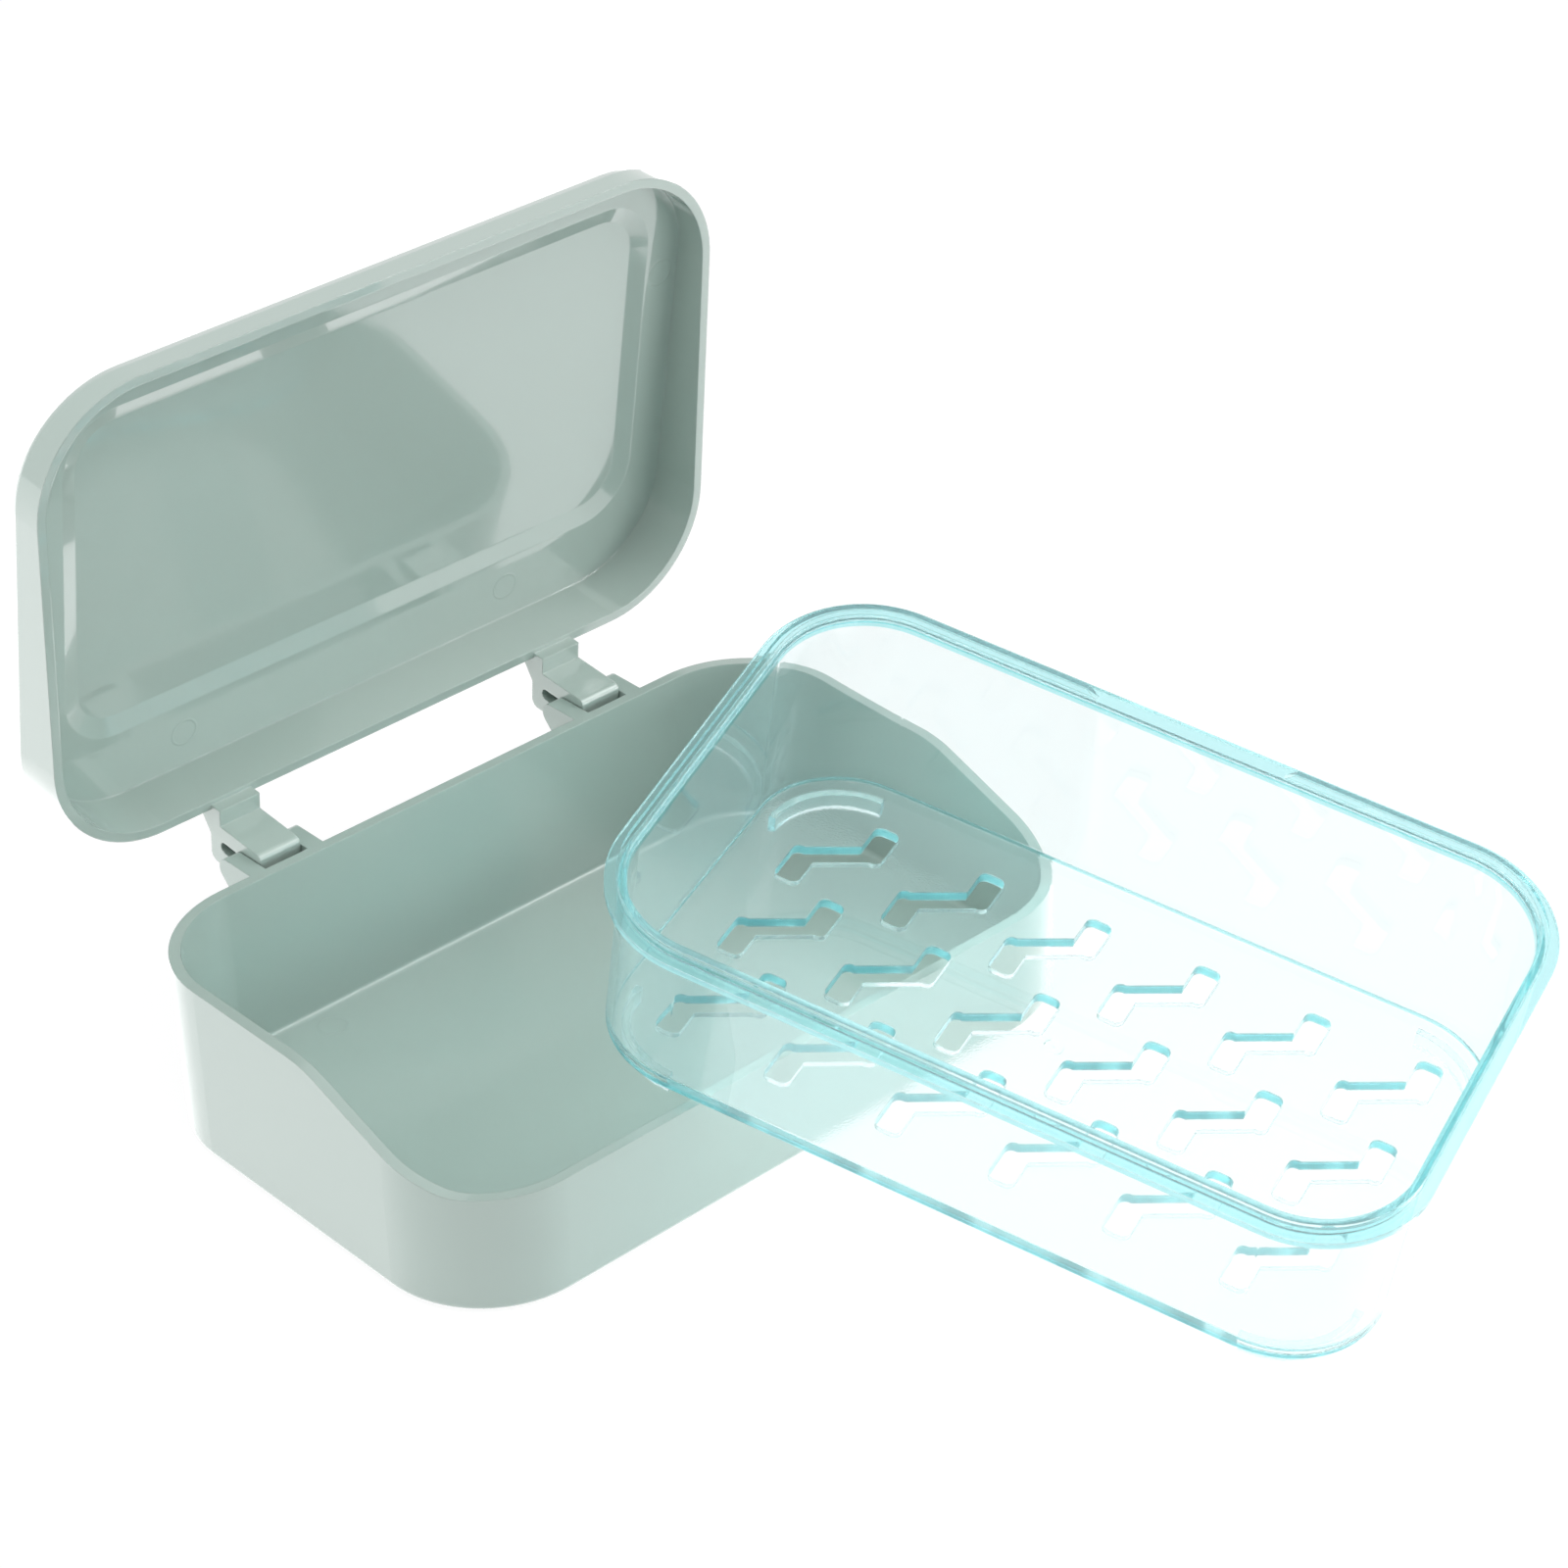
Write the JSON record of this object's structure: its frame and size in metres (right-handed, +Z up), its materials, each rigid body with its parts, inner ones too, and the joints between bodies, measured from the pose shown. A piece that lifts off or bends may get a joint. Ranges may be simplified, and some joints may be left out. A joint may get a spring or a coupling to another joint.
{
  "type": "travel soap container",
  "caption": "Travel soap container with a snap-hinged lid standing open and a clear slotted drainer tray lifted out across its low front rim.",
  "frame": {"origin": "middle of the base's underside, on the surface that it stands on", "axes": "+X to the right along the base's long side, +Y towards the hinge, +Z up"},
  "size_m": [0.1489, 0.2052, 0.1181],
  "materials": {
    "sage_plastic": "opaque, glossy moulded plastic",
    "lid_plastic": "opaque, glossy moulded plastic",
    "clear_plastic": "clear, aqua-tinted moulded plastic"
  },
  "bodies": {
    "base_body": {"base": "sage_plastic", "tray": "clear_plastic"},
    "lid_body": {"lid": "lid_plastic"}
  },
  "joints": [
    {"name": "lid_hinge", "type": "hinge", "parent": "base_body", "child": "lid_body", "pos_m": [0, 0.0472, 0.029], "axis": [-1, 0, 0], "range_deg": [-60, 95.5]}
  ]
}
